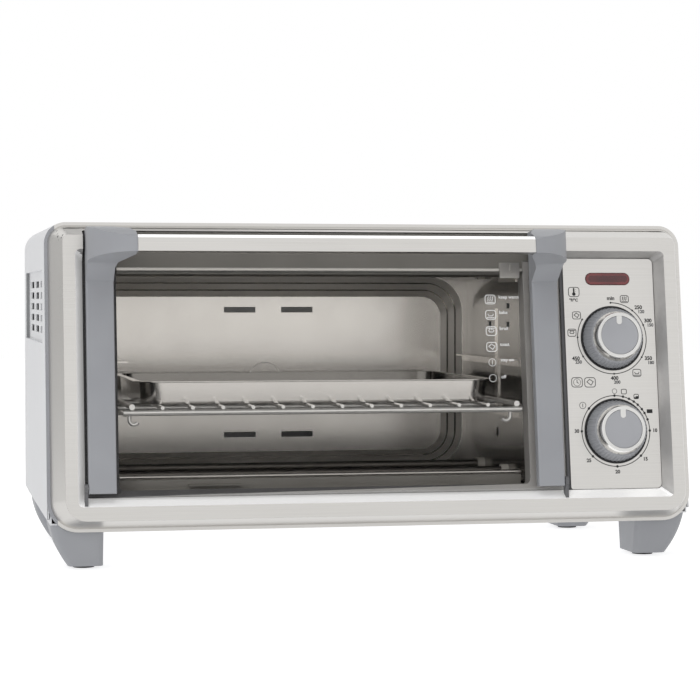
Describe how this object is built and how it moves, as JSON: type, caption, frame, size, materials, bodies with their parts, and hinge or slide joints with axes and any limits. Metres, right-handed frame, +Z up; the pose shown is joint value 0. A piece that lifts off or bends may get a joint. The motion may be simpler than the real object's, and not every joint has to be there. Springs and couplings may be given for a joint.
{
  "type": "toaster oven",
  "caption": "Countertop toaster oven with a leaning stainless front, drop-down glass door and bar handle, wire rack, bake pan and a side panel with rotary knobs.",
  "frame": {"origin": "on the counter, under the centre of the bounding box", "axes": "+X to the right of a person facing the door, +Y towards the back, +Z up"},
  "size_m": [0.52, 0.381, 0.2703],
  "materials": {
    "case_paint": "satin",
    "bezel_steel": "satin",
    "frame_moulding": "matt",
    "grey_moulding": "matt",
    "cap_moulding": "satin",
    "knob_ring": "polished",
    "lens": "gloss",
    "lamp": "clear",
    "door_glass": "clear",
    "chamber_steel": "satin",
    "sheet_steel": "satin",
    "pin_steel": "satin",
    "element": "matt",
    "ceramic": "matt",
    "rack_chrome": "bright",
    "pan_steel": "satin",
    "rubber": "matt",
    "unit_moulding": "matt"
  },
  "bodies": {
    "case": {"bezel": "bezel_steel", "mouth_trim": "bezel_steel", "front_frame": "frame_moulding", "control_panel": "bezel_steel", "indicator_lens": "lens", "lamp_holder": "unit_moulding", "indicator_lamp": "lamp", "outer_case": "case_paint", "rear_cover": "sheet_steel", "cord_gland": "rubber", "cover_screws": "pin_steel", "terminal_block": "unit_moulding", "base_pan": "sheet_steel", "foot_front_left": "grey_moulding", "foot_front_right": "grey_moulding", "foot_rear_left": "grey_moulding", "foot_rear_right": "grey_moulding", "foot_pads": "rubber", "foot_screws": "pin_steel", "chamber_liner": "chamber_steel", "chamber_back": "chamber_steel", "control_partition": "sheet_steel", "rack_guide_left": "chamber_steel", "rack_guide_right": "chamber_steel", "chamber_stand": "sheet_steel", "heater_upper_front": "element", "heater_upper_rear": "element", "heater_lower_front": "element", "heater_lower_rear": "element", "heater_caps": "ceramic", "heater_reflector": "chamber_steel", "heater_brackets": "chamber_steel", "crumb_tray": "chamber_steel", "hinge_lug_left": "frame_moulding", "hinge_lug_right": "frame_moulding", "thermostat": "unit_moulding", "timer_unit": "unit_moulding", "timer_bell": "pin_steel"},
    "door": {"door_glass": "door_glass", "door_bracket_left": "grey_moulding", "door_bracket_right": "grey_moulding", "handle_bar": "bezel_steel", "handle_grip": "grey_moulding", "hinge_pin_left": "pin_steel", "hinge_pin_right": "pin_steel", "door_screws": "pin_steel"},
    "rack": {"rack_rails": "rack_chrome", "rack_wires": "rack_chrome", "rack_side_wires": "rack_chrome", "rack_hooks": "rack_chrome"},
    "bake_pan": {"bake_pan": "pan_steel"},
    "temperature_dial": {"temperature_knob": "grey_moulding", "temperature_ring": "knob_ring", "temperature_cap": "cap_moulding", "temperature_shaft": "pin_steel"},
    "timer_dial": {"timer_knob": "grey_moulding", "timer_ring": "knob_ring", "timer_cap": "cap_moulding", "timer_shaft": "pin_steel"}
  },
  "joints": [
    {"name": "door_hinge", "type": "hinge", "parent": "case", "child": "door", "pos_m": [0, -0.15154, 0.06542], "axis": [1, 0, 0], "range_deg": [0, 90]},
    {"name": "rack_slide", "type": "slide", "parent": "case", "child": "rack", "axis": [0, -1, 0], "range_m": [0, 0.064]},
    {"name": "pan_lift", "type": "slide", "parent": "rack", "child": "bake_pan", "axis": [0, 0, 1], "range_m": [0, 0.03]},
    {"name": "temperature_turn", "type": "hinge", "parent": "case", "child": "temperature_dial", "pos_m": [0.1947, -0.12678, 0.17835], "axis": [0, 0.9898, -0.1426], "range_deg": [0, 315]},
    {"name": "timer_turn", "type": "hinge", "parent": "case", "child": "timer_dial", "pos_m": [0.1947, -0.13752, 0.10382], "axis": [0, 0.9898, -0.1426], "range_deg": [-51, 270]}
  ],
  "couplings": [
    {"joint": "rack_slide", "follows": "door_hinge", "m_per_rad": 0.04}
  ]
}
